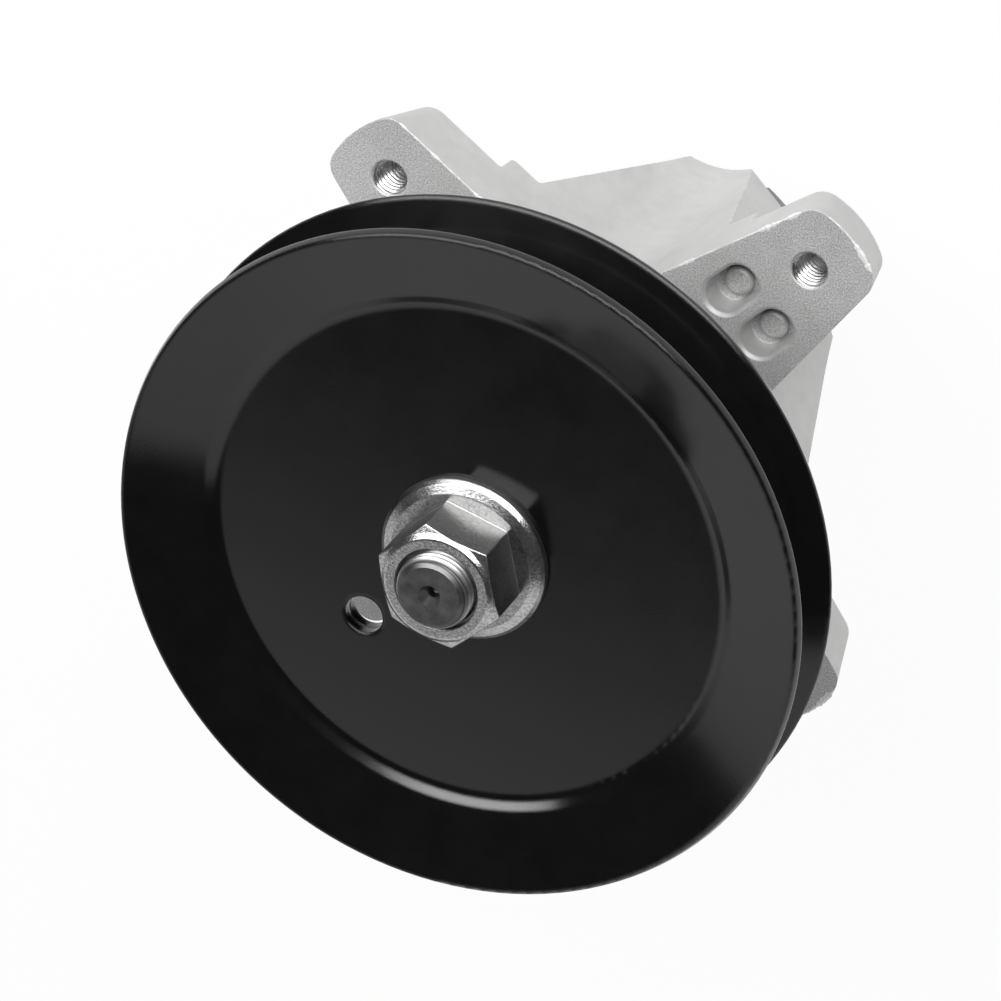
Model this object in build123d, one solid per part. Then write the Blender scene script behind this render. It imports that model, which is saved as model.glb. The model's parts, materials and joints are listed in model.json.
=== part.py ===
from build123d import *
from math import cos, radians, sin, sqrt, tan
import os

# Deck spindle of a ride-on mower, in millimetres, with +Z towards the pulley's nut.
# The origin is on the spindle axis, in the plane of the four ear faces that meet the deck.
# A cast body with four ears holds two ball bearings, the shaft turns in them, a pressed
# two-piece pulley is clamped on top, and the shaft's star below drives the blade.

os.makedirs("parts", exist_ok=True)

# Small gaps between pieces that seat on each other, and between pieces that turn past each other
seat_gap = 0.02
shaft_gap = 0.05
ball_gap = 0.08
running_gap = 0.8

# Ears of the cast body
hole_spacing = 93.4
ear_hole_radius = 3.97
ear_hole_chamfer = 0.25
ear_half_width = 12.0
ear_flare_angle = 9.9
ear_end_margin = 12.2
ear_end_radius = 26.0
ear_end_slope_angle = 14.5
ear_corner_round = 4.8
ear_thickness = 15.5

# Ribs that run down from the ears to the lower bearing seat
rib_draft_angle = 2.95
crotch_round = 15.2
pad_depth = 21.9
pad_reach = 52.6
pad_inner_reach = 44.9
pad_round = 1.5
rib_foot_reach = 25.7

# Pair of coring pockets in the face of each ear
pocket_reach = 48.5
pocket_offset = 5.8
pocket_length = 12.6
pocket_width = 8.4
pocket_corner = 4.0
pocket_depth = 6.2
pocket_inset = 0.6
pocket_rim_round = 0.7
ejector_radius = 3.2
ejector_height = 1.8
ejector_round = 1.0

# Central tube of the cast body
tube_radius = 27.8
tube_top = 45.0
tube_draft_angle = 1.0
body_depth = 77.0
body_bore_radius = 16.5
tube_edge_round = 1.2

# Sealed ball bearings, 17 x 40 x 12
bearing_bore_radius = 8.5
bearing_outer_radius = 20.0
bearing_width = 12.0
bearing_edge = 0.6
pitch_radius = (bearing_bore_radius + bearing_outer_radius) / 2
ball_radius = 3.3735
ball_count = 8
race_radius = 3.45
inner_shoulder_offset = 2.05
outer_shoulder_offset = 2.25
inner_shoulder_radius = pitch_radius - inner_shoulder_offset
outer_shoulder_radius = pitch_radius + outer_shoulder_offset
seal_thickness = 0.9
seal_recess = 0.4
seal_seat_depth = 0.9
seal_seat_radius = outer_shoulder_radius + seal_seat_depth
seal_lip_gap = 0.3
cage_half_thickness = 1.25
cage_open_side = 1.2
cage_closed_side = 4.3
cage_pocket_gap = 0.12

# Recess over each bearing, where its dust shield runs
recess_depth = 2.5
recess_margin = 3.0
recess_radius = bearing_outer_radius + recess_margin
shield_thickness = 1.0
shield_lift = 0.5
shield_flat_radius = 15.0
shield_radius = recess_radius - running_gap

# Shaft, from the blade end to the pulley end
collar_radius = 11.5
collar_length = 1.8
flange_radius = 15.0
flange_length = 4.2
star_tip_radius = 12.7
star_root_radius = 9.6
star_points = 6
star_length = 8.0
star_round = 0.6
thread_root_radius = 7.15
blade_thread_length = 19.0
shaft_end_radius = 6.4
shaft_end_bevel = 1.1
flat_distance = 7.25
flat_inset = 0.4
flat_runout = 2.0
shaft_above_web = 18.3
centre_hole_radius = 2.4
centre_pilot_radius = 1.2
centre_pilot_depth = 4.0
centre_cone_angle = 30.0

# Spacer tube between the bearings
spacer_radius = 11.6

# Pressed sheet pulley, two dished sheaves spot-welded back to back
pulley_radius = 73.7
pulley_width = 20.8
pulley_middle = 61.75
sheet_thickness = 2.4
cone_angle = 23.0
step_angle = 33.0
step_radius = 57.45
bend_round = 2.0
sheet_edge_round = 0.6
web_hole_radius = 4.2
web_hole_reach = 29.0
web_hole_angle = -138.4

# Steel hub between the upper bearing and the pulley
hub_radius = 15.0
hub_nose_length = 1.8
hub_edge = 0.8

# Flanged hexagon nuts
nut_across_flats = 23.8
nut_height = 15.2
nut_side_round = 0.4
nut_top_round = 0.6
nut_flange_radius = 17.8
nut_flange_edge = 1.4
nut_flange_bevel = 0.8
nut_ring_radius = 15.2
nut_ring_height = 3.1
nut_face_radius = 11.1
nut_shoulder_radius = 12.0
nut_shoulder_drop = 0.75
nut_corner_angle = 25.0
nut_mouth_radius = 9.0
nut_mouth_depth = 2.6
nut_vertex_angle = 44.2

# Places that follow from the sizes above
hole_reach = hole_spacing / sqrt(2)
ear_reach = hole_reach + ear_end_margin
upper_bearing_base = tube_top - recess_depth - bearing_width
lower_bearing_base = -body_depth + recess_depth
half_bearing = bearing_width / 2
flange_top = lower_bearing_base - collar_length
star_top = flange_top - flange_length
star_bottom = star_top - star_length
web_back = pulley_middle - sheet_thickness
web_front = pulley_middle + sheet_thickness
shaft_bottom = star_bottom - blade_thread_length
shaft_top = web_front + shaft_above_web
hub_shoulder = tube_top - recess_depth + hub_nose_length
flats_bottom = web_back - flat_runout
flats_top = web_front - flat_inset
diagonals = [45, 135, 225, 315]


def turned(points, rounds=()):
    """Solid turned about Z from an outline of (radius, height) points, with rounded corners."""
    outline = Polygon(*points, align=None)
    for corner, radius in rounds:
        outline = fillet(outline.vertices().sort_by_distance(corner)[0], radius)
    return revolve(Plane.XZ * outline, Axis.Z)


def ring(inner, outer, bottom, top, edge=0.0):
    """Plain ring with its four edges bevelled."""
    points = [(inner, bottom + edge), (inner + edge, bottom), (outer - edge, bottom), (outer, bottom + edge)]
    points += [(outer, top - edge), (outer - edge, top), (inner + edge, top), (inner, top - edge)]
    if edge == 0:
        points = points[1:3] + points[5:7]
    return turned(points)


def rod(radius, bottom, top):
    """Upright cylinder between two heights."""
    return Pos(0, 0, bottom) * extrude(Circle(radius), top - bottom)


def along_diagonal(angle, reach=0.0, offset=0.0, height=0.0):
    """Place on the diagonal at an angle: outwards by reach, sideways by offset."""
    return Rot(0, 0, angle) * Pos(reach, offset, height)


def arm_half_width(reach):
    """Half the width of an arm's face at a distance from the axis, along its diagonal."""
    return ear_half_width + (hole_reach - reach) * tan(radians(ear_flare_angle))


def arms_block():
    """Four arms in one block, tapered in plan, with drafted walls and rounded crotches."""
    far = ear_reach + ear_half_width
    wide = arm_half_width(0)
    slim = arm_half_width(far)
    one_arm = Polygon((0, -wide), (far, -slim), (far, slim), (0, wide), align=None)
    plan = Sketch() + [along_diagonal(angle) * one_arm for angle in diagonals]
    crotches = plan.vertices().sort_by(lambda v: v.X ** 2 + v.Y ** 2)[:len(diagonals)]
    return extrude(fillet(crotches, crotch_round), -body_depth, taper=rib_draft_angle)


def under_cut():
    """What is cut away below one ear along +X: the step of its pad and the slope of its rib."""
    far = ear_reach + 2 * ear_half_width
    points = [(far, -ear_thickness), (pad_reach, -ear_thickness), (pad_reach, -pad_depth)]
    points += [(pad_inner_reach, -pad_depth), (rib_foot_reach, -body_depth), (far, -body_depth)]
    side = Polygon(*points, align=None)
    for corner in points[1:4]:
        side = fillet(side.vertices().sort_by_distance(corner)[0], pad_round)
    return extrude(Plane.XZ * side, arm_half_width(0), both=True)


def end_cut():
    """What is cut away past one ear's sloping, gently curved end, along +X."""
    size = 4 * ear_half_width
    block = Pos(hole_reach, 0, 0) * Box(size, size, ear_thickness, align=(Align.MIN, Align.CENTER, Align.MAX))
    drop = ear_thickness * tan(radians(ear_end_slope_angle))
    hanging = (Align.CENTER, Align.CENTER, Align.MAX)
    end_round = Cone(ear_end_radius - drop, ear_end_radius, ear_thickness, align=hanging)
    return block - Pos(ear_reach - ear_end_radius, 0, 0) * end_round


def ear_corner(body, angle, turn):
    """The upright edge at one corner of the ear on a diagonal."""
    spot = along_diagonal(angle, ear_reach - ear_corner_round / 2, turn * ear_half_width, -ear_thickness / 2)
    return body.edges().sort_by_distance(spot.position)[0]


def pocket():
    """One coring pocket about its own centre, with a rounded rim and an ejector pin's stub in its floor."""
    lift = pocket_rim_round
    flare = 2 * pocket_rim_round
    wide = RectangleRounded(pocket_length + flare, pocket_width + flare, pocket_corner + pocket_rim_round)
    mouth = RectangleRounded(pocket_length, pocket_width, pocket_corner)
    trim = 2 * pocket_inset
    floor = RectangleRounded(pocket_length - trim, pocket_width - trim, pocket_corner - pocket_inset)
    pit = loft([Pos(0, 0, -lift) * mouth, Pos(0, 0, -pocket_depth) * floor], ruled=True)
    pit += loft([wide, Pos(0, 0, -lift) * mouth], ruled=True)
    stub_top = ejector_height - pocket_depth
    stub = [(0, -pocket_depth), (ejector_radius, -pocket_depth), (ejector_radius, stub_top), (0, stub_top)]
    return pit - turned(stub, [(stub[2], ejector_round)])


def ear_hole():
    """Tapped hole through an ear, about its own axis, at the thread's major radius."""
    mouth = ear_hole_radius + ear_hole_chamfer
    low = -ear_thickness
    points = [(0, low), (mouth, low), (ear_hole_radius, low + ear_hole_chamfer)]
    points += [(ear_hole_radius, -ear_hole_chamfer), (mouth, 0), (0, 0)]
    return turned(points)


def housing():
    """Cast body: four ribbed ears round a tube with a bearing seat at each end."""
    body = arms_block()
    for angle in diagonals:
        body -= along_diagonal(angle) * under_cut()
        body -= along_diagonal(angle) * end_cut()
    body = fillet([ear_corner(body, angle, turn) for angle in diagonals for turn in (-1, 1)], ear_corner_round)
    spread = tube_top * tan(radians(tube_draft_angle))
    wall = [(0, -ear_thickness), (tube_radius, -ear_thickness), (tube_radius, 0)]
    wall += [(tube_radius - spread, tube_top), (0, tube_top)]
    body += turned(wall, [(wall[3], tube_edge_round)])
    for angle in diagonals:
        body -= along_diagonal(angle, hole_reach) * ear_hole()
        for offset in (-pocket_offset, pocket_offset):
            body -= along_diagonal(angle, pocket_reach, offset) * pocket()
    body -= rod(body_bore_radius, -body_depth, tube_top)
    body -= rod(bearing_outer_radius, upper_bearing_base, tube_top)
    body -= rod(bearing_outer_radius, -body_depth, lower_bearing_base + bearing_width)
    body -= rod(recess_radius, tube_top - recess_depth, tube_top)
    body -= rod(recess_radius, -body_depth, -body_depth + recess_depth)
    return body


def rims_at(body, radius):
    """The circular edges of a turned piece at a radius."""
    circles = body.edges().filter_by(GeomType.CIRCLE)
    return circles.filter_by(lambda edge: abs(edge.radius - radius) < 1e-6)


def race_groove(middle, pitch):
    """Ring-shaped cutter for a raceway about the height given."""
    return Pos(0, 0, middle) * Torus(pitch, race_radius)


def outer_ring(base):
    """Outer ring of a bearing whose lower face is at base, with seats for both seals."""
    seat = seal_recess + seal_thickness
    top = base + bearing_width
    body = ring(outer_shoulder_radius, bearing_outer_radius, base, top)
    body -= rod(seal_seat_radius, base, base + seat)
    body -= rod(seal_seat_radius, top - seat, top)
    body -= race_groove(base + half_bearing, pitch_radius + ball_radius + ball_gap - race_radius)
    return chamfer(rims_at(body, bearing_outer_radius), bearing_edge)


def inner_ring(base):
    """Inner ring of a bearing whose lower face is at base."""
    body = ring(bearing_bore_radius, inner_shoulder_radius, base, base + bearing_width)
    body -= race_groove(base + half_bearing, pitch_radius - ball_radius - ball_gap + race_radius)
    return chamfer(rims_at(body, bearing_bore_radius), bearing_edge)


def ball_centres(base):
    """Places of the balls of a bearing whose lower face is at base."""
    step = 360 / ball_count
    return [Rot(0, 0, i * step) * Pos(pitch_radius, 0, base + half_bearing) for i in range(ball_count)]


def balls(base):
    """The balls of one bearing, as separate solids."""
    return Compound(children=[place * Sphere(ball_radius) for place in ball_centres(base)])


def cage(base, closed_up):
    """Snap-in crown cage: a ring with a round pocket for each ball, open on one side."""
    middle = base + half_bearing
    below = cage_open_side if closed_up else cage_closed_side
    above = cage_closed_side if closed_up else cage_open_side
    inner = pitch_radius - cage_half_thickness
    body = ring(inner, inner + 2 * cage_half_thickness, middle - below, middle + above)
    for place in ball_centres(base):
        body -= place * Sphere(ball_radius + cage_pocket_gap)
    return body


def seal(base, at_top):
    """Flat seal disc in the outer ring's seat, its lip just clear of the inner ring."""
    low = base + seal_recess
    if at_top:
        low = base + bearing_width - seal_recess - seal_thickness
    inner = inner_shoulder_radius + seal_lip_gap
    return ring(inner, seal_seat_radius - seat_gap, low, low + seal_thickness)


def shield(face, rises):
    """Pressed dust shield seated on a shoulder at height face, its outer part dished outwards."""
    low = face - shield_thickness if rises > 0 else face
    high = low + shield_thickness
    inner = collar_radius + seat_gap
    lift = shield_lift * rises
    slope = shield_flat_radius + 2 * shield_lift
    points = [(inner, low), (shield_flat_radius, low), (slope, low + lift), (shield_radius, low + lift)]
    points += [(shield_radius, high + lift), (slope, high + lift), (shield_flat_radius, high), (inner, high)]
    return turned(points)


def spacer():
    """Tube that keeps the two inner rings apart."""
    bore = bearing_bore_radius + shaft_gap
    return ring(bore, spacer_radius, lower_bearing_base + bearing_width, upper_bearing_base, hub_edge / 2)


def hub():
    """Turned spacer from the upper inner ring to the pulley, its nose through the dust shield."""
    bore = bearing_bore_radius + shaft_gap
    foot = tube_top - recess_depth
    points = [(bore, foot), (collar_radius, foot), (collar_radius, hub_shoulder), (hub_radius, hub_shoulder)]
    points += [(hub_radius, web_back - hub_edge), (hub_radius - hub_edge, web_back), (bore, web_back)]
    return turned(points)


def star():
    """Six-pointed star seat for the blade."""
    half_step = 180 / star_points
    points = []
    for i in range(2 * star_points):
        radius = star_root_radius if i % 2 else star_tip_radius
        points.append((radius * cos(radians(i * half_step)), radius * sin(radians(i * half_step))))
    outline = Polygon(*points, align=None)
    outline = fillet(outline.vertices(), star_round)
    return Pos(0, 0, star_bottom) * extrude(outline, star_length)


def centre_hole():
    """Lathe centre hole, its mouth at height 0 and the hole below it."""
    cone_depth = (centre_hole_radius - centre_pilot_radius) / tan(radians(centre_cone_angle))
    points = [(0, 0), (centre_hole_radius, 0), (centre_pilot_radius, -cone_depth)]
    points += [(centre_pilot_radius, -centre_pilot_depth), (0, -centre_pilot_depth - centre_pilot_radius / 2)]
    return turned(points)


def shaft():
    """One-piece shaft: thread core, star and flange below, bearing seats, flats and thread core above."""
    root = thread_root_radius
    journal = bearing_bore_radius - seat_gap
    points = [(0, shaft_bottom), (shaft_end_radius - shaft_end_bevel / 2, shaft_bottom)]
    points += [(root, shaft_bottom + shaft_end_bevel), (root, star_bottom + shaft_end_bevel)]
    points += [(root, star_top), (flange_radius, star_top), (flange_radius, flange_top)]
    points += [(collar_radius, flange_top), (collar_radius, lower_bearing_base), (journal, lower_bearing_base)]
    points += [(journal, flats_top), (root, flats_top), (root, shaft_top - shaft_end_bevel / 2)]
    points += [(shaft_end_radius, shaft_top), (0, shaft_top)]
    body = turned(points) + star()
    for side in (-1, 1):
        cut = Box(2 * journal, journal, flats_top - flats_bottom, align=(Align.CENTER, Align.MIN, Align.MIN))
        if side < 0:
            cut = Rot(0, 0, 180) * cut
        body -= Pos(0, side * flat_distance, flats_bottom) * cut
    body -= Pos(0, 0, shaft_top) * centre_hole()
    body -= Pos(0, 0, shaft_bottom) * Rot(180, 0, 0) * centre_hole()
    return body


def sheave(side):
    """One dished half of the pulley; side is 1 for the half under the nut and -1 for the other."""
    lean = radians(cone_angle)
    steep = radians(step_angle)
    halfway = (lean + steep) / 2
    round_loss = sheet_edge_round * (sin(lean) + cos(lean) - 1)
    rim_radius = pulley_radius + round_loss
    rim_height = pulley_width / 2 + round_loss
    lip_radius = rim_radius - sheet_thickness * sin(lean)
    step_height = rim_height - (lip_radius - step_radius) * tan(lean)
    slant = sheet_thickness / cos(halfway - lean)
    front_bend = step_radius - (step_height - sheet_thickness) / tan(steep)
    back_bend = front_bend + sheet_thickness * tan(steep / 2)
    profile = [(0, sheet_thickness), (front_bend, sheet_thickness), (step_radius, step_height)]
    profile += [(lip_radius, rim_height), (rim_radius, rim_height - sheet_thickness * cos(lean))]
    profile += [(step_radius + slant * sin(halfway), step_height - slant * cos(halfway))]
    profile += [(back_bend, 0), (0, 0)]
    points = [(radius, side * height) for radius, height in profile]
    rounds = [(points[1], bend_round), (points[6], bend_round + sheet_thickness)]
    rounds += [(points[3], sheet_edge_round), (points[4], sheet_edge_round)]
    body = Pos(0, 0, pulley_middle) * turned(points, rounds)
    across_flats = 2 * (flat_distance + shaft_gap)
    bore = Circle(bearing_bore_radius + shaft_gap) & Rectangle(2 * across_flats, across_flats)
    body -= Pos(0, 0, web_back) * extrude(bore, 2 * sheet_thickness)
    hole = Rot(0, 0, web_hole_angle) * Pos(web_hole_reach, 0, 0) * rod(web_hole_radius, web_back, web_front)
    return body - hole


def flanged_nut():
    """Hexagon nut with a bevelled flange, seated on height 0 and standing up."""
    corner = nut_across_flats / sqrt(3)
    far = 2 * corner
    far_drop = nut_shoulder_drop + (far - nut_shoulder_radius) * tan(radians(nut_corner_angle))
    plan = RegularPolygon(corner, 6, rotation=nut_vertex_angle)
    hexagon = extrude(fillet(plan.vertices(), nut_side_round), nut_height)
    outline = [(0, 0), (far, 0), (far, nut_height - far_drop)]
    outline += [(nut_shoulder_radius, nut_height - nut_shoulder_drop)]
    outline += [(nut_face_radius, nut_height), (0, nut_height)]
    rounds = [(outline[3], nut_top_round), (outline[4], nut_top_round)]
    hexagon &= Rot(0, 0, nut_vertex_angle) * turned(outline, rounds)
    brim = [(0, 0), (nut_flange_radius, 0), (nut_flange_radius, nut_flange_edge)]
    brim += [(nut_flange_radius - nut_flange_bevel, nut_flange_edge + nut_flange_bevel)]
    brim += [(nut_ring_radius, nut_ring_height), (0, nut_ring_height)]
    bore = thread_root_radius + shaft_gap
    hole = [(0, 0), (bore, 0), (bore, nut_height - nut_mouth_depth)]
    hole += [(nut_mouth_radius, nut_height), (0, nut_height)]
    return hexagon + turned(brim) - turned(hole)


def main():
    """Build every piece and write one file for each."""
    pieces = {
        "housing": housing(),
        "shaft": shaft(),
        "bearing_spacer": spacer(),
        "pulley_hub": hub(),
        "pulley_upper_sheave": sheave(1),
        "pulley_lower_sheave": sheave(-1),
        "pulley_nut": Pos(0, 0, web_front) * flanged_nut(),
        "blade_nut": Pos(0, 0, star_bottom) * Rot(180, 0, 0) * flanged_nut(),
        "upper_dust_shield": shield(hub_shoulder, 1),
        "lower_dust_shield": shield(flange_top, -1),
    }
    for name, base, closed_up in (("upper", upper_bearing_base, True), ("lower", lower_bearing_base, False)):
        pieces[name + "_bearing_outer_ring"] = outer_ring(base)
        pieces[name + "_bearing_inner_ring"] = inner_ring(base)
        pieces[name + "_bearing_balls"] = balls(base)
        pieces[name + "_bearing_cage"] = cage(base, closed_up)
        pieces[name + "_bearing_top_seal"] = seal(base, True)
        pieces[name + "_bearing_bottom_seal"] = seal(base, False)
    for name, piece in pieces.items():
        export_step(piece, "parts/" + name + ".step")


main()
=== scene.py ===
import json
import math
import random

import bpy
from mathutils import Matrix, Vector


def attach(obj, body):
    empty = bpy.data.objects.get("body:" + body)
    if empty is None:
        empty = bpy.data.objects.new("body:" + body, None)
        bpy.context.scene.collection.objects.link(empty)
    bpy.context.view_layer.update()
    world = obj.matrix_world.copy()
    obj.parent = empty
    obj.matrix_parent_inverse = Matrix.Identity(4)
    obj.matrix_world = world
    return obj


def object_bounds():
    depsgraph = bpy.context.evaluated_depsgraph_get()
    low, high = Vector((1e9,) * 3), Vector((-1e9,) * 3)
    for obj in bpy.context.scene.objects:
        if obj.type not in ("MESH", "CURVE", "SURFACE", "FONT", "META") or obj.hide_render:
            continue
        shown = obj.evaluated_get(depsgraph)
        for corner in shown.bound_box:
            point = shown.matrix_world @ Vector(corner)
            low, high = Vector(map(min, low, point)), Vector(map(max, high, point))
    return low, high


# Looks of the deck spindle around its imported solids. Metres, same frame as the solids.
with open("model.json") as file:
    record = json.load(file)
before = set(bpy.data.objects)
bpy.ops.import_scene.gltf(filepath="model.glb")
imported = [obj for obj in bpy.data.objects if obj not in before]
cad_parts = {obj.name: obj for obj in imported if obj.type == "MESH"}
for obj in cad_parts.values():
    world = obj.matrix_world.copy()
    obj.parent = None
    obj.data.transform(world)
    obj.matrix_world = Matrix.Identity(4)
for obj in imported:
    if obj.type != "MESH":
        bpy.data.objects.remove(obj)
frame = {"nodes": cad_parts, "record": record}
nodes = frame["nodes"]
cad_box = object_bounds()
MM = 0.001
random.seed(7)

# Camera, as fitted to the photograph
CAMERA_PLACE = (0.3231, 0.49, 0.8766)
CAMERA_RIGHT = (0.9218, 0.04489, -0.38506)
CAMERA_UP = (-0.2211, 0.87675, -0.42708)
CAMERA_LENS = 179.82
CAMERA_SENSOR = 36.0
CAMERA_NEAR = 0.05
CAMERA_FAR = 20.0

# Sizes that follow the solids, in millimetres and degrees
SHAFT_TOP = 82.45
SHAFT_BOTTOM = -107.5
SHAFT_BEVEL = 1.1
NUT_TOP = 79.35
BLADE_NUT_BOTTOM = -103.7
EAR_THICKNESS = 15.5
EAR_HOLE_OFFSET = 46.7
EAR_HOLE_REACH = 66.05
EAR_HALF_WIDTH = 12.0
EAR_FLARE_ANGLE = 9.9
EAR_END_REACH = 78.25
EAR_END_RADIUS = 26.0

# Threads, in millimetres; the shares are of half a pitch
THREAD_PITCH = 1.411
THREAD_ROOT_SHARE = 0.12
THREAD_FLANK_SHARE = 0.74
THREAD_BACK_DEPTH = 0.3
THREAD_AROUND = 120
THREAD_ROWS_PER_PITCH = 14
SHAFT_THREAD_ROOT = 7.15
SHAFT_THREAD_MAJOR = 7.94
THREAD_IN_NUT = 3.0
EAR_THREAD_MAJOR = 3.97
EAR_THREAD_MINOR = 3.34
EAR_THREAD_START = 0.4
EAR_THREAD_STOP = 0.3
EAR_THREAD_RUN_OUT = 0.7

# Flash on the ears' edges, in millimetres
FLASH_STEP = 0.55
FLASH_WIDTH = 0.85
FLASH_FADE_STEPS = 3
FLASH_SIDES = 5
FLASH_SWELL_START = 0.5
FLASH_SWELL_CHANGE = 0.35
FLASH_SWELL_LEAST = 0.1

# Soft edges: samples, and the cosines of the normal's turn on a plain face and on a worn edge
EDGE_SAMPLES = 6
EDGE_TURN = (0.98, 0.8)

# Floor
FLOOR_REACH = 6.0
FLOOR_COLOUR = (0.86, 0.86, 0.86, 1)
FLOOR_GLOW = 0.95
WHITE = (1, 1, 1, 1)

# Surround: a bright panel low down on the side away from the camera, and dim elsewhere.
# The top is two slopes, the edge two shares along PANEL_SIDE and the foot two heights, each a soft change.
PANEL_FACE = (-0.174, -0.985, 0.0)
PANEL_SIDE = (-0.208, -0.978, 0.0)
PANEL_TOP = (1.62, 1.33)
PANEL_EDGE = (0.3, 0.6)
PANEL_FOOT = (0.05, 0.4)
PANEL_LEVEL = 0.7
PANEL_LOW_LEVEL = 0.48
DARK_LEVEL = 0.05
FORWARD_LEAST = 0.05

# Lamps: directions from the object, sizes in metres and powers in watts
LAMP_DISTANCE = 1.4
KEY_DIRECTION = (-0.054, 0.613, 0.788)
KEY_SIZE = (2.3, 0.5)
KEY_POWER = 28.0
LOW_DIRECTION = (-0.043, 0.813, 0.581)
LOW_SIZE = (2.15, 0.4)
LOW_POWER = 7.0


# Node helpers
def new_material(name):
    material = bpy.data.materials.new(name)
    material.use_nodes = True
    tree = material.node_tree
    tree.nodes.clear()
    output = tree.nodes.new("ShaderNodeOutputMaterial")
    shader = tree.nodes.new("ShaderNodeBsdfPrincipled")
    tree.links.new(shader.outputs["BSDF"], output.inputs["Surface"])
    return material, tree, shader


def coords(tree, scale=(1.0, 1.0, 1.0)):
    """Object coordinates, stretched by a scale."""
    texture = tree.nodes.new("ShaderNodeTexCoord")
    mapping = tree.nodes.new("ShaderNodeMapping")
    mapping.inputs["Scale"].default_value = scale
    tree.links.new(texture.outputs["Object"], mapping.inputs["Vector"])
    return mapping.outputs["Vector"]


def noise(tree, vector, scale, detail, roughness):
    texture = tree.nodes.new("ShaderNodeTexNoise")
    texture.inputs["Scale"].default_value = scale
    texture.inputs["Detail"].default_value = detail
    texture.inputs["Roughness"].default_value = roughness
    tree.links.new(vector, texture.inputs["Vector"])
    return texture.outputs["Fac"]


def remap(tree, value, span, result=(0.0, 1.0)):
    """Linear change from one span to another, clamped at both ends."""
    step = tree.nodes.new("ShaderNodeMapRange")
    step.inputs["From Min"].default_value = span[0]
    step.inputs["From Max"].default_value = span[1]
    step.inputs["To Min"].default_value = result[0]
    step.inputs["To Max"].default_value = result[1]
    tree.links.new(value, step.inputs["Value"])
    return step.outputs["Result"]


def soft_step(tree, value, span):
    """Soft step from 0 at the first value of a span to 1 at the second."""
    rising = span[0] < span[1]
    ramp = tree.nodes.new("ShaderNodeMapRange")
    ramp.interpolation_type = "SMOOTHSTEP"
    ramp.inputs["From Min"].default_value = min(span)
    ramp.inputs["From Max"].default_value = max(span)
    ramp.inputs["To Min"].default_value = 0.0 if rising else 1.0
    ramp.inputs["To Max"].default_value = 1.0 if rising else 0.0
    tree.links.new(value, ramp.inputs["Value"])
    return ramp.outputs["Result"]


def math_node(tree, operation, first, second):
    """Sum, product or the like of two values, each a number or a socket."""
    step = tree.nodes.new("ShaderNodeMath")
    step.operation = operation
    for socket, value in zip(step.inputs, (first, second)):
        if isinstance(value, (int, float)):
            socket.default_value = value
        else:
            tree.links.new(value, socket)
    return step.outputs["Value"]


def along(tree, vector, axis):
    """A direction's share along an axis."""
    step = tree.nodes.new("ShaderNodeVectorMath")
    step.operation = "DOT_PRODUCT"
    step.inputs[1].default_value = axis
    tree.links.new(vector, step.inputs[0])
    return step.outputs["Value"]


def mix_colours(tree, factor, first, second):
    """Blend of two colours, each a tuple or a socket."""
    step = tree.nodes.new("ShaderNodeMix")
    step.data_type = "RGBA"
    tree.links.new(factor, step.inputs["Factor"])
    for socket, value in ((step.inputs["A"], first), (step.inputs["B"], second)):
        if isinstance(value, tuple):
            socket.default_value = (*value, 1.0)
        else:
            tree.links.new(value, socket)
    return step.outputs["Result"]


def dim(tree, colour, share):
    """A colour times a share."""
    step = tree.nodes.new("ShaderNodeVectorMath")
    step.operation = "SCALE"
    tree.links.new(colour, step.inputs["Vector"])
    tree.links.new(share, step.inputs["Scale"])
    return step.outputs["Vector"]


def bump(tree, shader, height, distance, strength, below=None):
    """Bump from a height, on top of an earlier normal if one is given."""
    step = tree.nodes.new("ShaderNodeBump")
    step.inputs["Strength"].default_value = strength
    step.inputs["Distance"].default_value = distance
    tree.links.new(height, step.inputs["Height"])
    if below is not None:
        tree.links.new(below, step.inputs["Normal"])
    tree.links.new(step.outputs["Normal"], shader.inputs["Normal"])
    return step.outputs["Normal"]


def facing_up(tree, span):
    """0 where the normal's share along +Z is below a span, 1 where it is above."""
    texture = tree.nodes.new("ShaderNodeTexCoord")
    split = tree.nodes.new("ShaderNodeSeparateXYZ")
    tree.links.new(texture.outputs["Normal"], split.inputs["Vector"])
    return remap(tree, split.outputs["Z"], span)


def edge_normal(tree, radius):
    """Normal that turns softly over an edge, as a worn or painted edge does."""
    step = tree.nodes.new("ShaderNodeBevel")
    step.samples = EDGE_SAMPLES
    step.inputs["Radius"].default_value = radius
    return step.outputs["Normal"]


def edge_share(tree, soft):
    """1 along the sharp edges and 0 away from them, from the soft normal."""
    geometry = tree.nodes.new("ShaderNodeNewGeometry")
    turn = tree.nodes.new("ShaderNodeVectorMath")
    turn.operation = "DOT_PRODUCT"
    tree.links.new(soft, turn.inputs[0])
    tree.links.new(geometry.outputs["Normal"], turn.inputs[1])
    return remap(tree, turn.outputs["Value"], EDGE_TURN)


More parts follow.
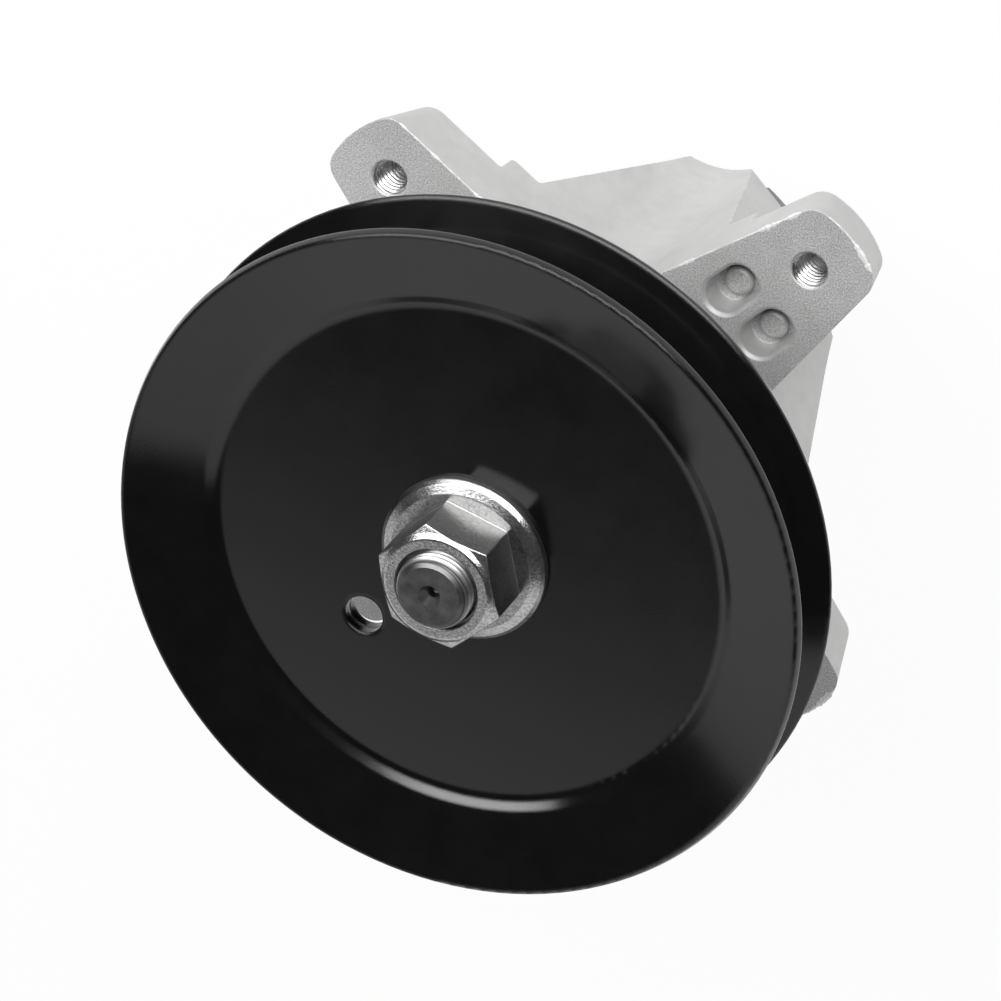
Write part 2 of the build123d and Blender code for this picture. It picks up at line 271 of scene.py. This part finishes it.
# Materials
def cast_material():
    """Die-cast aluminium: grainy on the faces, mottled on the drafted walls, bright on worn edges."""
    face_colours = ((0.40, 0.40, 0.40), (0.76, 0.76, 0.755))
    wall_colours = ((0.50, 0.50, 0.495), (0.68, 0.68, 0.675))
    worn_colour = (0.88, 0.88, 0.875)
    material, tree, shader = new_material("cast_aluminium_look")
    shader.inputs["Metallic"].default_value = 0.45
    vector = coords(tree)
    grain = noise(tree, vector, scale=2900.0, detail=2.0, roughness=0.7)
    mottle = noise(tree, vector, scale=260.0, detail=4.0, roughness=0.6)
    cloud = noise(tree, vector, scale=38.0, detail=3.0, roughness=0.5)
    face = facing_up(tree, (0.75, 0.97))
    face_colour = mix_colours(tree, remap(tree, grain, (0.36, 0.64)), *face_colours)
    wall_colour = mix_colours(tree, mottle, *wall_colours)
    colour = mix_colours(tree, face, wall_colour, face_colour)
    soft = edge_normal(tree, 0.0005)
    wear = remap(tree, mottle, (0.42, 0.6), (0.0, 0.9))
    worn = math_node(tree, "MULTIPLY", edge_share(tree, soft), wear)
    colour = mix_colours(tree, worn, colour, worn_colour)
    colour = dim(tree, colour, remap(tree, cloud, (0.35, 0.65), (0.9, 1.0)))
    tree.links.new(colour, shader.inputs["Base Color"])
    tree.links.new(remap(tree, mottle, (0.3, 0.7), (0.42, 0.55)), shader.inputs["Roughness"])
    height = math_node(tree, "MULTIPLY", grain, remap(tree, face, (0.0, 1.0), (0.15, 1.0)))
    normal = bump(tree, shader, height, distance=0.00012, strength=1.0, below=soft)
    bump(tree, shader, cloud, distance=0.0004, strength=0.6, below=normal)
    return material


def paint_material():
    """Gloss black paint on pressed sheet, with a fine skin and soft edges."""
    colours = ((0.002, 0.002, 0.0021), (0.0035, 0.0035, 0.0036))
    material, tree, shader = new_material("black_paint_look")
    shader.inputs["Specular IOR Level"].default_value = 0.62
    vector = coords(tree)
    skin = noise(tree, vector, scale=2400.0, detail=2.0, roughness=0.5)
    dust = noise(tree, vector, scale=90.0, detail=5.0, roughness=0.65)
    colour = mix_colours(tree, remap(tree, dust, (0.35, 0.7)), *colours)
    tree.links.new(colour, shader.inputs["Base Color"])
    tree.links.new(remap(tree, dust, (0.3, 0.75), (0.11, 0.14)), shader.inputs["Roughness"])
    bump(tree, shader, skin, distance=0.00001, strength=0.6, below=edge_normal(tree, 0.0012))
    return material


def zinc_material():
    """Zinc plate on a forged nut: stained, pitted, rougher on the faces that don't face up, with painted
    shade darkening them, bright on worn edges.
    """
    stain_colours = ((0.33, 0.33, 0.33), (0.54, 0.54, 0.535))
    clean_colour = (0.74, 0.74, 0.735)
    painted_flats_shade_colour = (0.12, 0.12, 0.12)
    worn_colour = (0.9, 0.9, 0.895)
    material, tree, shader = new_material("zinc_plate_look")
    shader.inputs["Metallic"].default_value = 1.0
    vector = coords(tree)
    pits = noise(tree, vector, scale=1700.0, detail=3.0, roughness=0.75)
    cloud = noise(tree, vector, scale=170.0, detail=4.0, roughness=0.6)
    stain = mix_colours(tree, remap(tree, cloud, (0.35, 0.65)), *stain_colours)
    colour = mix_colours(tree, remap(tree, pits, (0.36, 0.64)), stain, clean_colour)
    upper = facing_up(tree, (0.3, 0.6))
    # Painted shade: the faces that don't face up are darkened towards a near-black colour
    painted_flats_shade = remap(tree, upper, (0.0, 1.0), (0.65, 0.0))
    colour = mix_colours(tree, painted_flats_shade, colour, painted_flats_shade_colour)
    soft = edge_normal(tree, 0.0004)
    worn = math_node(tree, "MULTIPLY", edge_share(tree, soft), 0.8)
    colour = mix_colours(tree, worn, colour, worn_colour)
    tree.links.new(colour, shader.inputs["Base Color"])
    clean_rough = remap(tree, cloud, (0.3, 0.7), (0.17, 0.25))
    flats_rough = remap(tree, upper, (0.0, 1.0), (0.24, 0.0))
    tree.links.new(math_node(tree, "ADD", clean_rough, flats_rough), shader.inputs["Roughness"])
    normal = bump(tree, shader, pits, distance=0.00004, strength=1.0, below=soft)
    bump(tree, shader, cloud, distance=0.00006, strength=0.5, below=normal)
    return material


def turned_material(name, dark, light, roughness):
    """Turned steel with fine rings round the axis."""
    material, tree, shader = new_material(name)
    shader.inputs["Metallic"].default_value = 1.0
    rings = noise(tree, coords(tree, (0.05, 0.05, 1.0)), scale=5200.0, detail=2.0, roughness=0.5)
    stain = noise(tree, coords(tree), scale=240.0, detail=4.0, roughness=0.6)
    colour = mix_colours(tree, remap(tree, stain, (0.3, 0.7)), dark, light)
    tree.links.new(colour, shader.inputs["Base Color"])
    tree.links.new(remap(tree, stain, (0.3, 0.7), roughness), shader.inputs["Roughness"])
    bump(tree, shader, rings, distance=0.00003, strength=0.6)
    return material


def thread_material():
    """Rolled thread: painted shade darkening the roots, which are also rougher; shiny on the crests."""
    root_shade_colour = (0.07, 0.07, 0.07)
    crest_colours = ((0.46, 0.46, 0.46), (0.66, 0.66, 0.66))
    material, tree, shader = new_material("thread_steel_look")
    shader.inputs["Metallic"].default_value = 1.0
    distance = tree.nodes.new("ShaderNodeVectorMath")
    distance.operation = "LENGTH"
    tree.links.new(coords(tree, (1.0, 1.0, 0.0)), distance.inputs[0])
    depth = (SHAFT_THREAD_ROOT * MM, SHAFT_THREAD_MAJOR * MM)
    crest = remap(tree, distance.outputs["Value"], depth)
    stain = noise(tree, coords(tree), scale=900.0, detail=3.0, roughness=0.6)
    light = mix_colours(tree, remap(tree, stain, (0.3, 0.7)), *crest_colours)
    # Painted shade: the colour darkens towards the roots, by distance from the axis
    tree.links.new(mix_colours(tree, crest, root_shade_colour, light), shader.inputs["Base Color"])
    tree.links.new(remap(tree, crest, (0.0, 1.0), (0.5, 0.3)), shader.inputs["Roughness"])
    bump(tree, shader, stain, distance=0.00003, strength=0.5)
    return material


def plain_material(name, dark, light, metallic, roughness, grain_scale, grain_depth):
    """Even finish with a fine grain, for the rubber, plastic and ground pieces and the flash."""
    material, tree, shader = new_material(name)
    shader.inputs["Metallic"].default_value = metallic
    grain = noise(tree, coords(tree), scale=grain_scale, detail=3.0, roughness=0.6)
    colour = mix_colours(tree, remap(tree, grain, (0.3, 0.7)), dark, light)
    tree.links.new(colour, shader.inputs["Base Color"])
    tree.links.new(remap(tree, grain, (0.3, 0.7), roughness), shader.inputs["Roughness"])
    bump(tree, shader, grain, distance=grain_depth, strength=0.5)
    return material


# Pieces
def add_mesh(name, verts, faces):
    mesh = bpy.data.meshes.new(name)
    mesh.from_pydata(verts, [], faces)
    mesh.update()
    piece = bpy.data.objects.new(name, mesh)
    bpy.context.scene.collection.objects.link(piece)
    return piece


def add_piece(piece, body, material):
    piece.data.materials.clear()
    piece.data.materials.append(material)
    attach(piece, body)


def ring(radii, z):
    """Points at even angles round Z, one for each radius in millimetres."""
    points = []
    for j, radius in enumerate(radii):
        angle = 2 * math.pi * j / len(radii)
        points.append((radius * MM * math.cos(angle), radius * MM * math.sin(angle), z * MM))
    return points


def thread_radius(z, share, base, crest, bottom, top, run_out):
    """Radius of a thread's surface at a height and a share of a turn."""
    fade = max(0.0, min(1.0, (z - bottom) / run_out, (top - z) / run_out))
    phase = ((z - bottom) / THREAD_PITCH - share) % 1.0
    ridge = 1.0 - abs(2.0 * phase - 1.0)
    ridge = min(1.0, max(0.0, (ridge - THREAD_ROOT_SHARE) / THREAD_FLANK_SHARE))
    return base + (crest - base) * ridge * fade


def thread_faces(steps):
    """Faces of the surface and of its hidden back, row by row, then the rings that close both ends."""
    back = (steps + 1) * THREAD_AROUND
    faces = []
    for i in range(steps):
        low = i * THREAD_AROUND
        high = low + THREAD_AROUND
        for j in range(THREAD_AROUND):
            k = (j + 1) % THREAD_AROUND
            front = (low + j, low + k, high + k, high + j)
            rear = tuple(back + index for index in reversed(front))
            faces.extend((front, rear))
    for row, turn in ((0, 1), (steps, -1)):
        front = row * THREAD_AROUND
        rear = back + front
        for j in range(THREAD_AROUND):
            k = (j + 1) % THREAD_AROUND
            cap = (front + j, rear + j, rear + k, front + k)
            faces.append(cap[::turn])
    return faces


def thread_mesh(name, base, crest, bottom, top, run_out):
    """Helical ridge between two heights: base is the wall's radius and crest the ridge's, in millimetres."""
    inwards = crest < base
    back = base + THREAD_BACK_DEPTH if inwards else base - THREAD_BACK_DEPTH
    steps = int(round((top - bottom) / THREAD_PITCH * THREAD_ROWS_PER_PITCH))
    heights = [bottom + (top - bottom) * i / steps for i in range(steps + 1)]
    shares = [j / THREAD_AROUND for j in range(THREAD_AROUND)]
    verts = []
    for z in heights:
        verts += ring([thread_radius(z, share, base, crest, bottom, top, run_out) for share in shares], z)
    for z in heights:
        verts += ring([back] * THREAD_AROUND, z)
    faces = thread_faces(steps)
    if inwards:
        faces = [face[::-1] for face in faces]
    thread = add_mesh(name, verts, faces)
    thread.data.shade_smooth()
    return thread


def ear_half_width(reach):
    """Half the width of an ear's face at a distance from the spindle axis, in millimetres."""
    return EAR_HALF_WIDTH + (EAR_HOLE_REACH - reach) * math.tan(math.radians(EAR_FLARE_ANGLE))


def side_path(side, start, end):
    """Points and outward directions along one side edge of an ear's face, in the ear's own frame."""
    lean = math.radians(EAR_FLARE_ANGLE)
    count = int((end - start) / FLASH_STEP)
    reaches = [start + (end - start) * i / count for i in range(count + 1)]
    outward = Vector((math.sin(lean), side * math.cos(lean), 0))
    return [(Vector((reach, side * ear_half_width(reach), 0)), outward) for reach in reaches]


def end_path(start, end):
    """Points and outward directions along the curved end of an ear's face, between two angles in degrees."""
    middle = Vector((EAR_END_REACH - EAR_END_RADIUS, 0, 0))
    count = int(math.radians(end - start) * EAR_END_RADIUS / FLASH_STEP)
    path = []
    for i in range(count + 1):
        angle = math.radians(start + (end - start) * i / count)
        outward = Vector((math.cos(angle), math.sin(angle), 0))
        path.append((middle + outward * EAR_END_RADIUS, outward))
    return path


def flash_section(lip):
    """Outline across a lip: distance outwards from the edge and height, in millimetres."""
    inner = (-0.1 - lip, 0.01)
    crown = (-0.1, 0.02 + 0.2 * lip)
    tip = (lip * 0.6, -0.02)
    foot = (0.02, -0.15 - lip)
    root = (-0.12, -0.2)
    return inner, crown, tip, foot, root


def flash_faces(rows):
    """Faces of a closed tube through the rows of a lip, with both ends capped."""
    faces = []
    for i in range(rows - 1):
        low = i * FLASH_SIDES
        high = low + FLASH_SIDES
        for j in range(FLASH_SIDES):
            k = (j + 1) % FLASH_SIDES
            faces.append((low + j, low + k, high + k, high + j))
    faces.append(tuple(reversed(range(FLASH_SIDES))))
    faces.append(tuple((rows - 1) * FLASH_SIDES + j for j in range(FLASH_SIDES)))
    return faces


def flash_mesh(name, path, turn):
    """Thin ragged lip left by the mould's joint along an edge, turned to its ear by an angle in degrees."""
    last = len(path) - 1
    swell = FLASH_SWELL_START
    verts = []
    for i, (point, outward) in enumerate(path):
        change = random.uniform(-FLASH_SWELL_CHANGE, FLASH_SWELL_CHANGE)
        swell = min(1.0, max(FLASH_SWELL_LEAST, swell + change))
        fade = min(1.0, i / FLASH_FADE_STEPS, (last - i) / FLASH_FADE_STEPS)
        lip = FLASH_WIDTH * swell * swell * fade
        for out, z in flash_section(lip):
            verts.append((point + outward * out + Vector((0, 0, z))) * MM)
    flash = add_mesh(name, verts, flash_faces(len(path)))
    flash.data.transform(Matrix.Rotation(math.radians(turn), 4, "Z"))
    return flash


LOOKS = {
    "cast_aluminium": cast_material(),
    "shaft_steel": turned_material(
        "shaft_steel_look", (0.1, 0.1, 0.105), (0.21, 0.21, 0.21), roughness=(0.34, 0.5)),
    "black_paint": paint_material(),
    "zinc_plate": zinc_material(),
    "shield_steel": turned_material(
        "shield_steel_look", (0.42, 0.42, 0.42), (0.6, 0.6, 0.6), roughness=(0.3, 0.42)),
    "bearing_steel": plain_material(
        "bearing_steel_look", (0.6, 0.6, 0.61), (0.7, 0.7, 0.7),
        metallic=1.0, roughness=(0.12, 0.2), grain_scale=900.0, grain_depth=0.00001),
    "cage_plastic": plain_material(
        "cage_plastic_look", (0.6, 0.54, 0.42), (0.7, 0.64, 0.52),
        metallic=0.0, roughness=(0.45, 0.6), grain_scale=700.0, grain_depth=0.00003),
    "seal_rubber": plain_material(
        "seal_rubber_look", (0.012, 0.012, 0.012), (0.022, 0.022, 0.022),
        metallic=0.0, roughness=(0.5, 0.65), grain_scale=900.0, grain_depth=0.00003),
}
THREAD_LOOK = thread_material()
FLASH_LOOK = plain_material(
    "flash_look", (0.8, 0.8, 0.795), (0.96, 0.96, 0.955),
    metallic=0.2, roughness=(0.3, 0.45), grain_scale=1500.0, grain_depth=0.00005)
TAPPED_LOOK = turned_material(
    "tapped_aluminium_look", (0.4, 0.4, 0.4), (0.6, 0.6, 0.6), roughness=(0.26, 0.36))

for entry in frame["record"]["subparts"]:
    solid = nodes[entry["node"]]
    solid.data.materials.clear()
    solid.data.materials.append(LOOKS[entry["material_slot"]])

upper_thread = thread_mesh(
    "pulley_end_thread", SHAFT_THREAD_ROOT, SHAFT_THREAD_MAJOR,
    NUT_TOP - THREAD_IN_NUT, SHAFT_TOP - SHAFT_BEVEL / 2, SHAFT_BEVEL)
add_piece(upper_thread, "rotor", THREAD_LOOK)
lower_thread = thread_mesh(
    "blade_end_thread", SHAFT_THREAD_ROOT, SHAFT_THREAD_MAJOR,
    SHAFT_BOTTOM + SHAFT_BEVEL, BLADE_NUT_BOTTOM + THREAD_IN_NUT, SHAFT_BEVEL)
add_piece(lower_thread, "rotor", THREAD_LOOK)

for index, (x, y) in enumerate(((1, 1), (-1, 1), (-1, -1), (1, -1))):
    tapped = thread_mesh(
        "ear_thread_" + str(index + 1), EAR_THREAD_MAJOR, EAR_THREAD_MINOR,
        -EAR_THICKNESS + EAR_THREAD_START, -EAR_THREAD_STOP, EAR_THREAD_RUN_OUT)
    tapped.data.transform(Matrix.Translation(Vector((x, y, 0)) * EAR_HOLE_OFFSET * MM))
    add_piece(tapped, "body", TAPPED_LOOK)

# Stretches of edge with flash, by the ear's angle: sides in millimetres of reach, ends in degrees
FLASH_EDGES = {
    45: (side_path(1, 33.0, 52.0), side_path(1, 56.0, 73.0), end_path(-17.0, 15.0)),
    135: (side_path(-1, 36.0, 58.0), side_path(-1, 58.5, 74.0)),
    225: (side_path(1, 35.0, 66.0), end_path(-15.0, 4.0)),
    315: (side_path(1, 40.0, 70.0), end_path(-12.0, 17.0)),
}
for turn, edges in FLASH_EDGES.items():
    for part, edge in enumerate(edges):
        flash = flash_mesh("ear_flash_%d_%d" % (turn, part + 1), edge, turn)
        add_piece(flash, "body", FLASH_LOOK)


# Floor, light and camera
def floor_material():
    """Pale floor that reads as white to the camera and to the metal, and still takes a soft shadow."""
    material = bpy.data.materials.new("floor_look")
    material.use_nodes = True
    tree = material.node_tree
    tree.nodes.clear()
    output = tree.nodes.new("ShaderNodeOutputMaterial")
    rays = tree.nodes.new("ShaderNodeLightPath")
    seen = math_node(tree, "MAXIMUM", rays.outputs["Is Camera Ray"], rays.outputs["Is Glossy Ray"])
    seen = math_node(tree, "MAXIMUM", seen, rays.outputs["Is Transmission Ray"])
    lit = tree.nodes.new("ShaderNodeBsdfDiffuse")
    lit.inputs["Color"].default_value = FLOOR_COLOUR
    glow = tree.nodes.new("ShaderNodeEmission")
    glow.inputs["Color"].default_value = WHITE
    blend = tree.nodes.new("ShaderNodeMixShader")
    tree.links.new(math_node(tree, "MULTIPLY", seen, FLOOR_GLOW), blend.inputs["Fac"])
    tree.links.new(lit.outputs["BSDF"], blend.inputs[1])
    tree.links.new(glow.outputs["Emission"], blend.inputs[2])
    tree.links.new(blend.outputs["Shader"], output.inputs["Surface"])
    return material


def make_floor():
    z = cad_box[0][2]
    corners = [(x * FLOOR_REACH, y * FLOOR_REACH, z) for x, y in ((-1, -1), (1, -1), (1, 1), (-1, 1))]
    floor = add_mesh("floor", corners, [(0, 1, 2, 3)])
    floor.data.materials.append(floor_material())


def surround_strength(tree):
    """Light of the surround in each direction: the panel, and the dim rest."""
    texture = tree.nodes.new("ShaderNodeTexCoord")
    direction = texture.outputs["Generated"]
    level = tree.nodes.new("ShaderNodeVectorMath")
    level.operation = "MULTIPLY"
    level.inputs[1].default_value = (1, 1, 0)
    tree.links.new(direction, level.inputs[0])
    heading = tree.nodes.new("ShaderNodeVectorMath")
    heading.operation = "NORMALIZE"
    tree.links.new(level.outputs["Vector"], heading.inputs[0])
    height = along(tree, direction, (0, 0, 1))
    forward = math_node(tree, "MAXIMUM", along(tree, direction, PANEL_FACE), FORWARD_LEAST)
    under_top = soft_step(tree, math_node(tree, "DIVIDE", height, forward), PANEL_TOP)
    between_sides = soft_step(tree, along(tree, heading.outputs["Vector"], PANEL_SIDE), PANEL_EDGE)
    share = math_node(tree, "MULTIPLY", under_top, between_sides)
    fall = soft_step(tree, height, PANEL_FOOT)
    panel = remap(tree, fall, (0.0, 1.0), (PANEL_LOW_LEVEL, PANEL_LEVEL))
    rest = remap(tree, share, (0.0, 1.0), (DARK_LEVEL, 0.0))
    return math_node(tree, "ADD", rest, math_node(tree, "MULTIPLY", share, panel))


def make_world():
    """Soft surround for the light, and plain white where the camera sees it."""
    world = bpy.data.worlds.new("studio")
    bpy.context.scene.world = world
    world.use_nodes = True
    tree = world.node_tree
    tree.nodes.clear()
    output = tree.nodes.new("ShaderNodeOutputWorld")
    surround = tree.nodes.new("ShaderNodeBackground")
    surround.inputs["Color"].default_value = WHITE
    white = tree.nodes.new("ShaderNodeBackground")
    white.inputs["Color"].default_value = WHITE
    tree.links.new(surround_strength(tree), surround.inputs["Strength"])
    rays = tree.nodes.new("ShaderNodeLightPath")
    blend = tree.nodes.new("ShaderNodeMixShader")
    tree.links.new(rays.outputs["Is Camera Ray"], blend.inputs["Fac"])
    tree.links.new(surround.outputs["Background"], blend.inputs[1])
    tree.links.new(white.outputs["Background"], blend.inputs[2])
    tree.links.new(blend.outputs["Shader"], output.inputs["Surface"])


def make_lamp(name, direction, size, power):
    """Wide soft lamp, level along its width, that looks at the object from a direction."""
    light = bpy.data.lights.new(name, "AREA")
    light.shape = "RECTANGLE"
    light.size = size[0]
    light.size_y = size[1]
    light.energy = power
    lamp = bpy.data.objects.new(name, light)
    place = Vector(direction).normalized()
    lamp.location = place * LAMP_DISTANCE
    lamp.rotation_euler = place.to_track_quat("Z", "Y").to_euler()
    bpy.context.scene.collection.objects.link(lamp)


def make_camera():
    right = Vector(CAMERA_RIGHT)
    up = Vector(CAMERA_UP)
    back = right.cross(up)
    data = bpy.data.cameras.new("camera")
    data.lens = CAMERA_LENS
    data.sensor_width = CAMERA_SENSOR
    data.clip_start = CAMERA_NEAR
    data.clip_end = CAMERA_FAR
    camera = bpy.data.objects.new("camera", data)
    rotation = Matrix((right, up, back)).transposed()
    camera.matrix_world = Matrix.Translation(CAMERA_PLACE) @ rotation.to_4x4()
    bpy.context.scene.collection.objects.link(camera)
    bpy.context.scene.camera = camera


make_floor()
make_world()
make_lamp("key", KEY_DIRECTION, KEY_SIZE, KEY_POWER)
make_lamp("low", LOW_DIRECTION, LOW_SIZE, LOW_POWER)
make_camera()
bpy.context.scene.view_settings.view_transform = "Standard"
